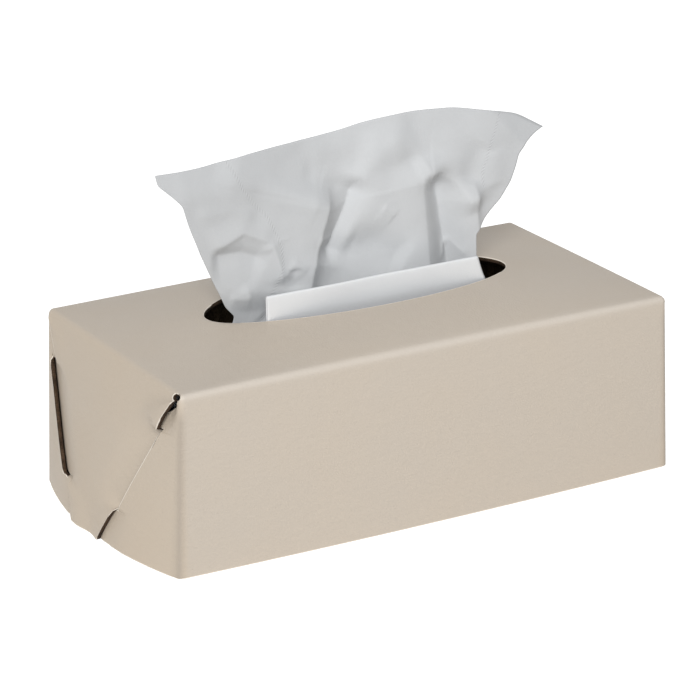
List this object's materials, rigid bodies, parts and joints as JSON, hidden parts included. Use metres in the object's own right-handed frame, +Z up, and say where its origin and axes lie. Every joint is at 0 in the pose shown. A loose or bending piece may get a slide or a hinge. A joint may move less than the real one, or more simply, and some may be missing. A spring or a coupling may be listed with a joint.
{
  "type": "tissue box holder",
  "caption": "Folded leather cover with an oval opening over a block of interfolded tissues, one tissue drawn up through it.",
  "frame": {"origin": "middle of the surface that the holder stands on, under the middle of the opening", "axes": "+X along the holder's length, +Y from its front to its back, +Z up"},
  "size_m": [0.2788, 0.1366, 0.17],
  "materials": {
    "leather": "satin, faint fine grain, pale beige, dark brown cut edges",
    "tissue": "matt, soft, cool white"
  },
  "bodies": {
    "root": {"leather_cover": "leather", "tissue_stack": "tissue", "drawn_tissue": "tissue", "next_tissue": "tissue"}
  },
  "joints": []
}
